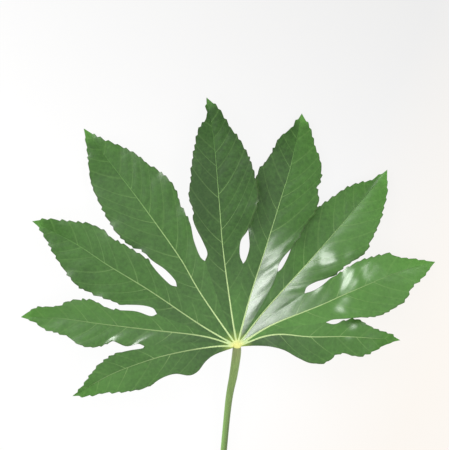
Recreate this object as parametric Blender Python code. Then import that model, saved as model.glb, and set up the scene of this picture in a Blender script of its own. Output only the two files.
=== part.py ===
"""A picked aralia leaf. It lies face up, on the tips of some lobes and the cut end of its stalk.

The leaf is made with the middle, where the ribs meet, over the world's origin: +Y runs from the
stalk to the longest lobe, and +Z is up. At the end all of it moves so that the origin is the middle
of the foot of its box.
"""

import math
import random
from dataclasses import dataclass

import bmesh
import bpy
import numpy as np
from mathutils import Vector

MM = 0.001

# The blade
THICKNESS = 0.8 * MM
MIDDLE_HEIGHT = 15.0 * MM  # of the blade where the ribs meet
RING_RADIUS = 5.2 * MM  # the blade stops here and leaves room for the joint on the stalk
NOTCH_ON_RIB = 0.80  # the row to a notch starts this far out on the rib, as a share of its radius
ARCH_SCALE = 2.6  # makes an arched rib stand its arch over the straight line at its highest
INNER_ROWS = 6
COLUMNS = 3  # of faces from a rib to the margin

# The margins
TOOTH_PITCH = 6.2 * MM
TOOTH_DEPTH = 1.0 * MM
TOOTH_LEAN = 0.75  # where a tooth's point lies between its two roots
TEETH_FROM = 0.22  # of the rows past the notch; the margin is smooth before that
TOOTH_SIZES = (0.45, 1.5)  # the least and the greatest, of the tooth's depth
TOOTH_SLIP = 0.28  # how far a tooth may stand from its even place, of the pitch
NOTCH_STEPS = (0.0, 0.2, 0.5)  # of the pitch past a notch, rows that draw its round bottom
RUFFLE = 1.2 * MM
RUFFLE_LENGTH = 27.0 * MM
LIFT_REACHED = 0.35  # of the margin, where its own lift has taken over from the notch's height
CROWN_FADED = 0.3  # of a lobe past its notches, where its own crown has given way to 1
BASE_SHARE = 0.36  # of a margin beside the stalk that belongs to the rows inside the notches
BASE_TURN = 4.0  # degrees from that lobe's chord to where such a margin starts on the ring

# The ribs. Heights are from the middle of the blade's thickness.
RIB_CLEARANCE = 0.6 * MM
RIB_START = 2.4 * MM
RIB_END = 0.88  # of the lobe's length
UPPER_WIDTH = (2.3 * MM, 0.8 * MM)  # near the middle, and at the end
UPPER_HEIGHT = (1.3 * MM, 0.6 * MM)
LOWER_WIDTH = (3.2 * MM, 1.0 * MM)
LOWER_HEIGHT = (2.6 * MM, 0.7 * MM)
SHOULDER = 0.7  # of a lower rib's half width and height, where its keel starts

# The stalk
JOINT_PLACE = (0.1 * MM, 0.8 * MM)
JOINT_RADIUS = 4.0 * MM
JOINT_HALF_HEIGHT = 3.9 * MM
JOINT_DROP = 0.7 * MM  # of the joint's middle below the blade's
JOINT_SEGMENTS = 18
STALK_SIDES = 12
STALK_RINGS = 26
# Its route as (x, y, height of its underside, radius) in millimetres, to the cut end
STALK_ROUTE = [
    (0.0, 1.5, 10.0, 3.0),
    (-0.4, -6.0, 8.4, 3.3),
    (-2.6, -21.0, 6.4, 3.1),
    (-5.9, -39.0, 4.4, 2.6),
    (-9.4, -73.5, 1.6, 2.4),
    (-12.0, -105.0, 0.2, 2.35),
    (-13.6, -135.0, 0.0, 2.4),
    (-14.4, -163.0, 0.0, 2.5),
]

SEED = 7
MERGE = 0.01 * MM  # points of neighbouring lobes this close are one
LINE_STEPS = 12  # points drawn between two chosen ones on a smooth line

BLADE_GREEN = (0.105, 0.235, 0.085, 1.0)
BLADE_ROUGHNESS = 0.35
STALK_GREEN = (0.360, 0.480, 0.190, 1.0)
STALK_ROUGHNESS = 0.45
SHARP_ANGLE = math.radians(50)


@dataclass
class Lobe:
    """A lobe's chord runs from the middle of the leaf to its tip. Points are (along the chord,
    to the left of it) in millimetres, from the middle outwards."""

    bearing: float  # degrees, counter-clockwise from +X
    length: float
    rib: list
    left: list
    right: list
    tip: float  # height of the tip; under half the thickness, the tip lies flat on the surface
    arch: float
    left_lift: float  # of the margin over the rib
    right_lift: float
    left_crown: float = 1.0  # 0 is a flat half, and 1 one that starts steeply and ends level
    right_crown: float = 1.0


# Clockwise, from the lowest lobe on the left
LOBES = [
    Lobe(
        197.0, 124.0,
        rib=[(15, -4.5), (40, -8), (63, -9), (93, -7)],
        left=[
            (17, 1), (25, 4), (32, 9), (39, 10), (48, 6), (58, 6),
            (70, 9), (84, 8), (99, 4.5), (111, 3),
        ],
        right=[
            (66, -18.5), (76, -20), (86, -20), (95, -17.5), (103, -13.5), (109, -9), (117, -3),
        ],
        tip=5, arch=4, left_lift=0.5, right_lift=3,
    ),
    Lobe(
        172.5, 157.5,
        rib=[(25, -4), (64, -3.5), (100, -3), (129, -3)],
        left=[
            (71, 7.5), (79, 10.5), (90, 8), (97, 12.5), (106, 14.5), (115, 13),
            (123, 8.5), (139, 6), (147, 2),
        ],
        right=[
            (64.5, -13.5), (76, -15.5), (94, -14.5), (106, -18.5), (116, -18), (125, -15.5),
            (131, -11.5), (146, -8.5), (153, -4),
        ],
        tip=-0.8, arch=4, left_lift=0, right_lift=3,
    ),
    Lobe(
        148.7, 173.0,
        rib=[(31, 0.5), (74, -1.5), (110, -1.5), (138, -2.5)],
        left=[
            (66, 8), (74, 10.5), (86, 17), (96, 19), (107, 21), (119, 22.5), (128, 20),
            (139, 15.5), (151, 9), (164, 2),
        ],
        right=[
            (64.5, -13), (77, -16), (87, -19.5), (99, -20), (117, -19.5), (126, -21), (135, -20),
            (149, -14), (165, -6),
        ],
        tip=3, arch=3, left_lift=1.5, right_lift=3,
    ),
    Lobe(
        125.2, 192.0,
        rib=[(46, -0.5), (75, -3), (113, -3), (147, -2)],
        left=[
            (64.5, 9), (75, 10.5), (86, 14.5), (96, 16), (104, 21), (118, 23.5), (135, 22),
            (146, 20.5), (158, 17.5), (168, 12), (179, 6),
        ],
        right=[
            (68, -15.5), (80, -18.5), (92, -23.5), (104, -24.5), (118, -28.5), (130, -28),
            (142, -23.5), (154, -20), (166, -14), (178, -6),
        ],
        tip=-0.8, arch=3, left_lift=1, right_lift=2,
    ),
    Lobe(
        97.0, 180.5,
        rib=[(25, 1), (70, 1.5), (106, 0), (149, -1.5)],
        left=[
            (69, 13), (77, 15), (92, 20), (100, 19), (111, 21), (123, 18), (134, 16),
            (147, 12), (158, 8), (166, 1.5), (175, 0.5),
        ],
        right=[
            (65, -10), (75, -12), (82, -18), (94, -24), (105, -28), (117, -27.5), (131, -25.5),
            (146, -20), (159, -13), (172, -7),
        ],
        tip=4, arch=3, left_lift=1.5, right_lift=1,
    ),
    Lobe(
        74.4, 174.0,
        rib=[(36, 0.5), (74, -1), (110, -2), (136, -2.5)],
        left=[
            (62, 10.5), (71, 10.5), (80, 13.5), (94, 19), (106, 22), (116, 20), (127, 18),
            (141, 13), (153, 10.5), (162, 4),
        ],
        right=[
            (64, -13), (71, -15), (79, -19), (91, -22.5), (100, -25), (107, -27.5), (117, -28.5),
            (125, -24.5), (133, -25.5), (144, -22), (154, -15), (165, -8.5),
        ],
        tip=2.5, arch=-3, left_lift=-1.5, right_lift=2, right_crown=0.1,
    ),
    Lobe(
        49.5, 167.0,
        rib=[(33, 1.5), (81, 0), (113, -0.5), (136, -0.5)],
        left=[
            (64, 12), (73, 14), (84, 18), (95, 22), (106, 22), (114, 20), (123, 17.5),
            (135, 14.5), (144, 10.5), (155, 3),
        ],
        right=[
            (65, -10.5), (72, -13), (79, -17.5), (86, -20), (95, -21.5), (109, -26), (119, -24),
            (133, -20.5), (143, -16), (153, -11), (162, -4),
        ],
        tip=3, arch=-1, left_lift=-3, right_lift=4, left_crown=0.8, right_crown=0.1,
    ),
    Lobe(
        22.9, 155.5,
        rib=[(28, 4.5), (66, 4), (91, 4.5), (125, 4)],
        left=[
            (66, 15.5), (73, 16.5), (81, 19), (89, 19.5), (102, 22), (113, 21), (126, 18.5),
            (132, 13.5), (143, 7),
        ],
        right=[
            (71, -9), (80, -12), (91, -15.5), (102, -19), (117, -18), (126, -15),
            (132, -9.5), (142, -6.5),
        ],
        tip=-0.8, arch=11.5, left_lift=-2.5, right_lift=1, left_crown=0.1,
    ),
    Lobe(
        2.1, 117.5,
        rib=[(9, 3), (20, 6.5), (33, 7.5), (53, 5), (82, 4)],
        left=[(70, 13.5), (78, 15.5), (87, 16), (93, 12.5), (100, 8.5), (109, 5)],
        right=[
            (13, 0), (24, -1), (34, -4), (43, -9.5), (53, -14), (64, -13),
            (70, -8.5), (77, -7.5), (86, -10), (96, -7.5), (108, -2),
        ],
        tip=11, arch=4.5, left_lift=0.5, right_lift=2.5,
    ),
]

# The bottom of the notch after each lobe but the last: bearing, radius in millimetres, how many
# millimetres the fold stands there over the ribs beside it, and how far over from the first of
# these ribs to the second the fold starts
NOTCHES = [
    (180.0, 66.5, 0.4, 0.5),
    (158.0, 62.0, 1.6, 0.5),
    (135.2, 61.0, 1.4, 0.5),
    (110.6, 65.5, 1.4, 0.5),
    (85.8, 59.5, 1.4, 0.5),
    (61.3, 61.0, 4.5, 0.75),
    (38.1, 61.5, -0.4, 0.5),
    (15.2, 66.0, -0.1, 0.5),
]

# Low swellings of the blade past the notches: which lobe, then x, y, height and radius in millimetres
SWELLS = [
    (6, 75.5, 60.0, 2.8, 17.0),
    (7, 91.0, 44.0, 4.8, 20.0),
    (7, 81.0, 21.5, 3.6, 16.0),
    (8, 90.0, 9.0, 4.0, 15.0),
]


def polar(bearing, radius):
    return np.array([math.cos(math.radians(bearing)), math.sin(math.radians(bearing))]) * radius


def in_plan(lobe, points):
    """A lobe's own points, in millimetres, as points of the leaf seen from above, in metres."""
    ahead = polar(lobe.bearing, 1.0)
    left = np.array([-ahead[1], ahead[0]])
    return [(along * ahead + across * left) * MM for along, across in points]


def smooth_line(points):
    """A Catmull-Rom curve through points, as many short steps."""
    points = np.array(points, float)
    first = 2 * points[0] - points[1]
    last = 2 * points[-1] - points[-2]
    points = np.vstack([first, points, last])
    steps = []
    for a, b, c, d in zip(points, points[1:], points[2:], points[3:]):
        for t in np.arange(LINE_STEPS) / LINE_STEPS:
            bend = 2 * a - 5 * b + 4 * c - d
            twist = 3 * b - a - 3 * c + d
            steps.append(0.5 * (2 * b + (c - a) * t + bend * t**2 + twist * t**3))
    steps.append(points[-2])
    return np.array(steps)


class Line:
    """A smooth line that is read by the distance along it."""

    def __init__(self, points):
        self.steps = smooth_line(points)
        gaps = np.linalg.norm(np.diff(self.steps, axis=0), axis=1)
        self.marks = np.concatenate([[0.0], np.cumsum(gaps)])
        self.length = self.marks[-1]

    def at(self, distance):
        return np.array([np.interp(distance, self.marks, column) for column in self.steps.T])


def smooth_step(x):
    x = min(max(x, 0.0), 1.0)
    return x * x * (3 - 2 * x)


def blend(start, end, share):
    return start + (end - start) * share


def rib_line(number):
    lobe = LOBES[number]
    return Line([np.zeros(2)] + in_plan(lobe, lobe.rib + [(lobe.length, 0)]))


RIBS = [rib_line(number) for number in range(len(LOBES))]


def notch_distance(number):
    """How far out on a lobe's rib the row of its notches starts."""
    beside = [NOTCHES[n][1] for n in (number - 1, number) if 0 <= n < len(NOTCHES)]
    return NOTCH_ON_RIB * sum(beside) / len(beside) * MM


def rib_distance(number, row):
    """Rows run from 0 at the middle through 1 at the notches to 2 at the tip."""
    if row <= 1:
        return blend(RING_RADIUS, notch_distance(number), row)
    return blend(notch_distance(number), RIBS[number].length, row - 1)


def rib_height(number, distance):
    lobe = LOBES[number]
    share = distance / RIBS[number].length
    straight = blend(MIDDLE_HEIGHT, lobe.tip * MM, share)
    return straight + ARCH_SCALE * share * (1 - share**2) * lobe.arch * MM


def swelling(number, x, y):
    """How far the low swellings lift a lobe there."""
    lift = 0.0
    for centre_x, centre_y, height, radius in (swell[1:] for swell in SWELLS if swell[0] == number):
        share = ((x / MM - centre_x) ** 2 + (y / MM - centre_y) ** 2) / radius**2
        lift += height * MM * max(1 - share, 0.0) ** 2
    return lift


def row_height(number, row):
    return rib_height(number, rib_distance(number, row))


class Half:
    """Half of a lobe, from its rib to one margin. sign is 1 on the left and -1 on the right."""

    def __init__(self, number, sign):
        lobe = LOBES[number]
        self.number = number
        self.sign = sign
        self.lift = (lobe.left_lift if sign > 0 else lobe.right_lift) * MM
        self.crown = lobe.left_crown if sign > 0 else lobe.right_crown
        self.neighbour = number - sign
        self.by_stalk = not 0 <= self.neighbour < len(LOBES)
        if self.by_stalk:
            start = polar(lobe.bearing + sign * BASE_TURN, RING_RADIUS)
        else:
            self.notch = NOTCHES[min(number, self.neighbour)]
            start = self.fold(1.0)
        own = (lobe.left if sign > 0 else lobe.right) + [(lobe.length, 0)]
        self.margin = Line([start] + in_plan(lobe, own))
        self.phase = random.Random(f"{SEED} {number} {sign}").uniform(0, math.tau)

    def set_teeth(self, teeth):
        """Draws the teeth past the notch: how many, their sizes and how unevenly they stand."""
        chance = random.Random(f"teeth {SEED} {self.number} {self.sign}")
        self.teeth = teeth
        self.sizes = [chance.uniform(*TOOTH_SIZES) for _ in range(teeth)]
        slips = [chance.uniform(-TOOTH_SLIP, TOOTH_SLIP) for _ in range(teeth - 1)]
        self.slips = [0.0] + slips + [0.0]

    def slip(self, row):
        """How far uneven teeth shift a row's end, in rows."""
        return np.interp((row - 1) * self.teeth, range(self.teeth + 1), self.slips) / self.teeth

    def share(self, row):
        """How far along its margin a row ends."""
        if not self.by_stalk:
            return max(row - 1, 0.0)
        return BASE_SHARE * row if row <= 1 else blend(BASE_SHARE, 1.0, row - 1)

    def fold(self, row):
        """A point of the fold between two lobes. It runs between their ribs to the notch."""
        first = min(self.number, self.neighbour)
        ribs = [RIBS[n].at(rib_distance(n, row)) for n in (first, first + 1)]
        bearings = [math.degrees(math.atan2(y, x)) % 360 for x, y in ribs]
        bearing, radius, _, place = self.notch
        inside = blend(*bearings, place)
        return polar(blend(inside, bearing, row**2), blend(RING_RADIUS, radius * MM, row))

    def edge(self, row):
        """Where a row ends: on the fold between two lobes, and past the notch on the margin."""
        if row < 1 and not self.by_stalk:
            return self.fold(row)
        return self.margin.at(self.share(row) * self.margin.length)

    def fold_rise(self, row):
        """Height of the fold between two lobes, over this lobe's rib."""
        level = (row_height(self.number, row) + row_height(self.neighbour, row)) / 2
        return level + self.notch[2] * MM * row - row_height(self.number, row)

    def rise(self, row):
        """Height of the row's end over the rib."""
        if row <= 1 and not self.by_stalk:
            return self.fold_rise(row)
        start = 0.0 if self.by_stalk else self.fold_rise(1.0)
        share = self.share(row)
        own = self.lift * (1 - share**3)
        return blend(start, own, smooth_step(share / LIFT_REACHED))

    def curl(self, row, column):
        """Height over the rib in a row, without the ruffle. Past the notch the crown fades to 1."""
        crown = blend(self.crown, 1.0, smooth_step((row - 1) / CROWN_FADED))
        return self.rise(row) * column * (1 + crown * (1 - column))

    def ruffle(self, row):
        share = self.share(row)
        turns = share * self.margin.length / RUFFLE_LENGTH
        fade = smooth_step(share / LIFT_REACHED) * (1 - share)
        return RUFFLE * fade * math.sin(math.tau * turns + self.phase)

    def place(self, row, column):
        """The point of the surface in the given row, from 0 on the rib to 1 at the row's end."""
        distance = rib_distance(self.number, row)
        end = row + self.slip(row)
        x, y = blend(RIBS[self.number].at(distance), self.edge(end), column)
        z = rib_height(self.number, distance) + self.curl(end, column) + self.ruffle(end) * column**4
        z += swelling(self.number, x, y)
        return Vector((x, y, max(z, THICKNESS / 2)))


def lobe_halves(number):
    """Both halves of a lobe. They share their rows, which past the notches are one for each tooth."""
    halves = [Half(number, sign) for sign in (1, -1)]
    free = [(1 - half.share(1.0)) * half.margin.length for half in halves]
    teeth = round(sum(free) / len(free) / TOOTH_PITCH)
    for half in halves:
        half.set_teeth(teeth)
    return halves


def lobe_rows(teeth):
    """All rows of a lobe, from 0 at the middle through 1 at the notches to 2 at the tip."""
    inner = [step / INNER_ROWS for step in range(INNER_ROWS)]
    return inner + [1 + step / teeth for step in (*NOTCH_STEPS, *range(1, teeth + 1))]


def half_lobe(bm, half):
    rows = lobe_rows(half.teeth)
    grid = bmesh.ops.create_grid(bm, x_segments=COLUMNS, y_segments=len(rows) - 1, size=0.5)
    for step, vertex in enumerate(grid["verts"]):
        row, column = divmod(step, COLUMNS + 1)
        vertex.co = half.place(rows[row], column / COLUMNS)
    margin = grid["verts"][COLUMNS :: COLUMNS + 1]
    roots = margin[INNER_ROWS + len(NOTCH_STEPS) - 1 :]
    for tooth in range(round(TEETH_FROM * half.teeth), half.teeth - 1):
        add_tooth(bm, roots[tooth], roots[tooth + 1], half.sign, half.sizes[tooth])


def add_tooth(bm, root, end, sign, size):
    """One tooth on the margin's edge from root to end. It leans towards the tip."""
    edge = bm.edges.get((root, end))
    along = (end.co - root.co).to_2d().normalized()
    outward = Vector((-along.y, along.x, 0)) * sign
    point = root.co.lerp(end.co, TOOTH_LEAN) + outward * TOOTH_DEPTH * size
    bmesh.utils.edge_split(edge, root, TOOTH_LEAN)[1].co = point


def material(name, colour, roughness):
    made = bpy.data.materials.new(name)
    made.use_nodes = True
    shader = made.node_tree.nodes["Principled BSDF"]
    shader.inputs["Base Color"].default_value = colour
    shader.inputs["Roughness"].default_value = roughness
    shader.inputs["Metallic"].default_value = 0.0
    return made


def new_object(name, bm, collection=None):
    mesh = bpy.data.meshes.new(name)
    bm.to_mesh(mesh)
    bm.free()
    made = bpy.data.objects.new(name, mesh)
    (collection or bpy.context.scene.collection).objects.link(made)
    return made


def applied(made):
    """Makes an object's modifiers part of its mesh."""
    bpy.context.view_layer.update()
    graph = bpy.context.evaluated_depsgraph_get()
    made.data = bpy.data.meshes.new_from_object(made.evaluated_get(graph))
    made.modifiers.clear()


def finish_look(made, look):
    made.data.materials.clear()
    made.data.materials.append(look)
    made.data.shade_smooth()
    made.data.set_sharp_from_angle(angle=SHARP_ANGLE)


def make_blade():
    bm = bmesh.new()
    for number in range(len(LOBES)):
        for half in lobe_halves(number):
            half_lobe(bm, half)
    bmesh.ops.remove_doubles(bm, verts=bm.verts, dist=MERGE)
    bmesh.ops.triangulate(bm, faces=bm.faces)
    bmesh.ops.recalc_face_normals(bm, faces=bm.faces)
    if sum(face.normal.z for face in bm.faces) < 0:
        bmesh.ops.reverse_faces(bm, faces=bm.faces)
    blade = new_object("blade", bm)
    wall = blade.modifiers.new("Thickness", "SOLIDIFY")
    wall.thickness = THICKNESS
    wall.offset = 0.0
    applied(blade)
    finish_look(blade, material("Leaf green", BLADE_GREEN, BLADE_ROUGHNESS))
    return blade


def swept(bm, rings):
    """A closed rod through rings of equally many points, extruded from the first."""
    start = bm.faces.new([bm.verts.new(point) for point in rings[0]])
    far = start
    for ring in rings[1:]:
        grown = bmesh.ops.extrude_face_region(bm, geom=[far])["geom"]
        if far is not start:
            bmesh.ops.delete(bm, geom=[far], context="FACES_ONLY")
        far = next(item for item in grown if isinstance(item, bmesh.types.BMFace))
        for vertex, point in zip(far.verts, ring):
            vertex.co = point
    bmesh.ops.recalc_face_normals(bm, faces=bm.faces)


def upper_section(share, climb):
    """Across and height of the upper rib's corners. Its keel and sides stay clear of the blade."""
    half = blend(*UPPER_WIDTH, share) / 2
    low = THICKNESS / 2 + RIB_CLEARANCE
    side = low + half * max(max(climb), 0.0)
    top = max(low + blend(*UPPER_HEIGHT, share), side + half / 2)
    return [(0.0, low), (half, side), (0.0, top), (-half, side)]


def lower_section(share, climb):
    half = blend(*LOWER_WIDTH, share) / 2
    top = -THICKNESS / 2 - RIB_CLEARANCE - half * max(-min(climb), 0.0)
    depth = blend(*LOWER_HEIGHT, share)
    out = half * SHOULDER
    shoulder = top - depth * SHOULDER
    return [(half, top), (-half, top), (-out, shoulder), (0.0, top - depth), (out, shoulder)]


def climb_beside(half, row, ahead):
    """How steeply the blade rises from the rib, square to it."""
    near = half.place(row, 0.0)
    far = half.place(row, 1 / COLUMNS)
    across = abs((far.x - near.x) * ahead[1] - (far.y - near.y) * ahead[0])
    return (far.z - near.z) / across


def rib_rings(number, section):
    rib = RIBS[number]
    halves = lobe_halves(number)
    end = RIB_END * rib.length
    places = [(RIB_START, 0.0)]
    places += [(rib_distance(number, row), row) for row in lobe_rows(halves[0].teeth)]
    rings = []
    for distance, row in places:
        if distance > end:
            break
        ahead = rib.at(distance + MM) - rib.at(distance - MM)
        ahead = ahead / np.linalg.norm(ahead)
        climb = [climb_beside(half, row, ahead) for half in halves]
        x, y = rib.at(distance)
        z = rib_height(number, distance) + swelling(number, x, y)
        corners = section(distance / end, climb)
        rings.append([(x - ahead[1] * a, y + ahead[0] * a, z + up) for a, up in corners])
    return rings


def stalk_rings():
    route = Line([np.array(point) * MM for point in STALK_ROUTE])
    rings = []
    for distance in np.linspace(0, route.length, STALK_RINGS):
        x, y, underside, radius = route.at(distance)
        before = route.at(max(distance - MM, 0.0))
        after = route.at(min(distance + MM, route.length))
        ahead = Vector((after - before)[:3]).normalized()
        across = ahead.cross(Vector((0, 0, 1))).normalized()
        up = across.cross(ahead)
        centre = Vector((x, y, max(underside, 0.0) + radius * math.cos(math.pi / STALK_SIDES)))
        turns = [(step + 0.5) / STALK_SIDES * math.tau for step in range(STALK_SIDES)]
        rings.append([centre + (across * math.sin(t) - up * math.cos(t)) * radius for t in turns])
    return rings


def make_stalk_and_ribs():
    pieces = bpy.data.collections.new("pieces to join")
    bpy.context.scene.collection.children.link(pieces)
    for number in range(len(LOBES)):
        for name, section in (("upper rib", upper_section), ("lower rib", lower_section)):
            bm = bmesh.new()
            swept(bm, rib_rings(number, section))
            new_object(f"{name} {number}", bm, pieces)
    bm = bmesh.new()
    swept(bm, stalk_rings())
    new_object("stalk", bm, pieces)
    bm = bmesh.new()
    bmesh.ops.create_uvsphere(bm, u_segments=JOINT_SEGMENTS, v_segments=JOINT_SEGMENTS // 2, radius=1)
    bmesh.ops.scale(bm, vec=(JOINT_RADIUS, JOINT_RADIUS, JOINT_HALF_HEIGHT), verts=bm.verts)
    bmesh.ops.translate(bm, vec=(*JOINT_PLACE, MIDDLE_HEIGHT - JOINT_DROP), verts=bm.verts)
    joined = new_object("stalk_and_ribs", bm)
    union = joined.modifiers.new("Union", "BOOLEAN")
    union.operation = "UNION"
    union.operand_type = "COLLECTION"
    union.collection = pieces
    applied(joined)
    for piece in list(pieces.objects):
        bpy.data.objects.remove(piece)
    bpy.data.collections.remove(pieces)
    finish_look(joined, material("Stalk green", STALK_GREEN, STALK_ROUGHNESS))
    return joined


def centre_on_box(objects):
    """Moves the meshes so that the origin is the middle of the foot of their common box."""
    points = np.array([vertex.co for made in objects for vertex in made.data.vertices])
    low = points.min(axis=0)
    high = points.max(axis=0)
    foot = Vector((-(low[0] + high[0]) / 2, -(low[1] + high[1]) / 2, -low[2]))
    for made in objects:
        for vertex in made.data.vertices:
            vertex.co += foot


def main():
    for made in list(bpy.data.objects):
        bpy.data.objects.remove(made)
    centre_on_box([make_blade(), make_stalk_and_ribs()])


main()
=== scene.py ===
"""The looks of a picked aralia leaf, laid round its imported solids.

The leaf is drawn with the middle, where its ribs meet, over the origin and +Y towards its longest
lobe, and is then moved to where the solids lie. Its blade follows the same rule as the solids do,
on a finer grid. Lengths are in metres, or in millimetres times MM.
"""

import math
import random
from dataclasses import dataclass

import bmesh
import bpy
import numpy as np
from mathutils import Matrix, Vector


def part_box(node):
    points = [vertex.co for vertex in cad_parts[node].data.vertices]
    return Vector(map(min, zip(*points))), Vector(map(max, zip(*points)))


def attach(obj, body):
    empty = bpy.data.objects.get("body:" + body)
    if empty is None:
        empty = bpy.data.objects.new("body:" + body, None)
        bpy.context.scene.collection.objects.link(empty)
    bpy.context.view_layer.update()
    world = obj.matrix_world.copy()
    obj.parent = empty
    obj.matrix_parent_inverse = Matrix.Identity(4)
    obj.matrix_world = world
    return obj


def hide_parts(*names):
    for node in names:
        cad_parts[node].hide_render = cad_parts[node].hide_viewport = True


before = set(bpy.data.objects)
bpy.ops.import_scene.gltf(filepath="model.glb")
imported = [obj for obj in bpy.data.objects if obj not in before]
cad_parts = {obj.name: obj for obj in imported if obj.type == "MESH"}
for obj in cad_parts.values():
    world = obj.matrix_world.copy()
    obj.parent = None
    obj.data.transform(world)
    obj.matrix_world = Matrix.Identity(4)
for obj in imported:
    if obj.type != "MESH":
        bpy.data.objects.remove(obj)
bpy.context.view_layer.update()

MM = 0.001

# The blade's form, as the solids have it
MIDDLE_HEIGHT = 15.0 * MM
NOTCH_ON_RIB = 0.80
ARCH_SCALE = 2.6
TOOTH_PITCH = 6.2 * MM
TOOTH_DEPTH = 1.0 * MM
TOOTH_LEAN = 0.75
TEETH_FROM = 0.22
TOOTH_SIZES = (0.45, 1.5)
TOOTH_SLIP = 0.28
RUFFLE = 1.2 * MM
RUFFLE_LENGTH = 27.0 * MM
LIFT_REACHED = 0.35
CROWN_FADED = 0.3  # of a lobe past its notches, where its own crown has given way to 1
BASE_SHARE = 0.36
BASE_TURN = 4.0
SEED = 7
LINE_STEPS = 12

# The finer blade
THICKNESS = 0.5 * MM
TIP_SPREAD = 0.06 * MM  # a raised tip's edge reaches past its middle by this much
RING_RADIUS = 3.0 * MM  # the blade starts inside the joint on the stalk
INNER_ROWS = 18
ROWS_A_TOOTH = 4
COLUMNS = 26
TOOTH_DEEP = 0.78  # column where the teeth start to push the blade outwards
TOOTH_BELLY = 0.85  # power of a tooth's long side; under 1 it bulges
QUILT = 0.16 * MM  # how far the blade bulges between side veins
# The dark rim along the margin is painted shade, where the margin rolls under
RIM_COLUMNS = 2  # how many columns the dark rim along the margin takes to fade
TIP_PALE = 0.6  # how much paler the tips are
WAX_THINS = (0.95, 0.3)  # the row where the wax coat starts to thin out, and over how many rows
WAX_ENDS = (1.6, 0.3)
MERGE = 0.002 * MM

# Side veins
VEIN_PITCH = 13.5 * MM
VEIN_LEAN = 0.85  # forward on the rib for each step away from it
VEIN_CURVE = 28.0  # more of it further out, per metre
VEIN_WANDER = 3.0 * MM
VEIN_WANDER_LENGTH = 61.0 * MM
VEIN_FIRST = 30.0 * MM
VEIN_LAST = 0.92  # of the rib
VEIN_GREENS = (0.4, 0.95)  # how much of the blade's green a side vein has at its start and end
SMALL_VEIN_GREENS = (0.85, 1.0)
RIB_GREENS_AT = (0.0, 0.12, 0.5, 1.0)  # where on a rib its own greens stand, after 0 at its start
VEIN_RISE = 0.06 * MM  # of its ridge over the upper face

# Ribs and stalk
RIB_END = 0.93
RIB_DEPTH = (2.5 * MM, 0.35 * MM)
HUB_PLACE = (0.1 * MM, 0.8 * MM)
HUB_RADIUS = 3.0 * MM
HUB_HALF_HEIGHT = 3.1 * MM
HUB_DROP = 1.5 * MM
HUB_REACH = 16.0 * MM
HUB_VOXEL = 0.28 * MM
STALK_SIDES = 36
STALK_RINGS = 84
STALK_RIDGES = 9
STALK_RIDGE = 0.012
STALK_ROUTE = [
    (0.0, 1.5, 10.0, 3.0),
    (-0.4, -6.0, 8.4, 3.3),
    (-2.6, -21.0, 6.4, 3.1),
    (-5.9, -39.0, 4.4, 2.6),
    (-9.4, -73.5, 1.6, 2.4),
    (-12.0, -105.0, 0.2, 2.35),
    (-13.6, -135.0, 0.0, 2.4),
    (-14.4, -163.0, 0.0, 2.5),
]

# Colours
DARK_GREEN = "#304f24"
LIGHT_GREEN = "#56883d"
# Painted shade along the margin, where it rolls under
RIM_PAINTED_SHADE = "#3a3f26"
RIB_YELLOW = "#e3e38c"
RIB_PALE = "#c2d999"
RIB_FAR = "#64934a"
VEIN_GREEN = "#42692f"
STALK_DARK = "#5f7343"
STALK_LIGHT = "#87a15f"
# Painted light and shade for the stalk's lower part: its left-facing side lit, its right-facing side shaded
STALK_PAINTED_LIT = "#8ab465"
STALK_PAINTED_SHADED = "#465430"
STALK_TOP = "#8b8664"

# The floor glows with painted light of its own; the glow dims towards the far right corner as painted shade
FLOOR_GLOW = 0.955
FLOOR_PAINTED_DIMMING = (0.0, 380 * MM)  # towards the far right corner
FLOOR_WARMS = (40 * MM, 300 * MM)  # towards the near right one
FLOOR_EVENS = (300 * MM, 1100 * MM)  # away from the leaf

# The camera looks straight down. The photograph shows 324 mm of the leaf's level from top to foot.
SENSOR = 36.0
SHOWN = 324.0 * MM
CAMERA_HEIGHT = 2.2
LEAF_LEVEL = 8.0 * MM
CAMERA_OVER = (-9.0 * MM, 87.1 * MM)  # from the leaf's middle


@dataclass
class Lobe:
    """A lobe's chord runs from the middle of the leaf to its tip. Points are (along the chord,
    to the left of it) in millimetres, from the middle outwards."""

    bearing: float  # degrees, counter-clockwise from +X
    length: float
    rib: list
    rib_green: tuple  # how much of the blade's green the rib has near its start, midway and at its end
    left: list
    right: list
    tip: float
    arch: float
    left_lift: float
    right_lift: float
    # Each half's two greens are partly its own tone and partly painted light and shade for the way the half
    # faces the light
    left_tone_and_shade: tuple  # at its start and its end: 0 is the leaf's darkest green and 1 its lightest
    right_tone_and_shade: tuple
    left_crown: float = 1.0  # 0 is a flat half, and 1 one that starts steeply and ends level
    right_crown: float = 1.0
    left_wax: tuple = (1.0, 0.75)  # how thick the wax coat is before and past the notches
    right_wax: tuple = (1.0, 0.75)


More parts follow.
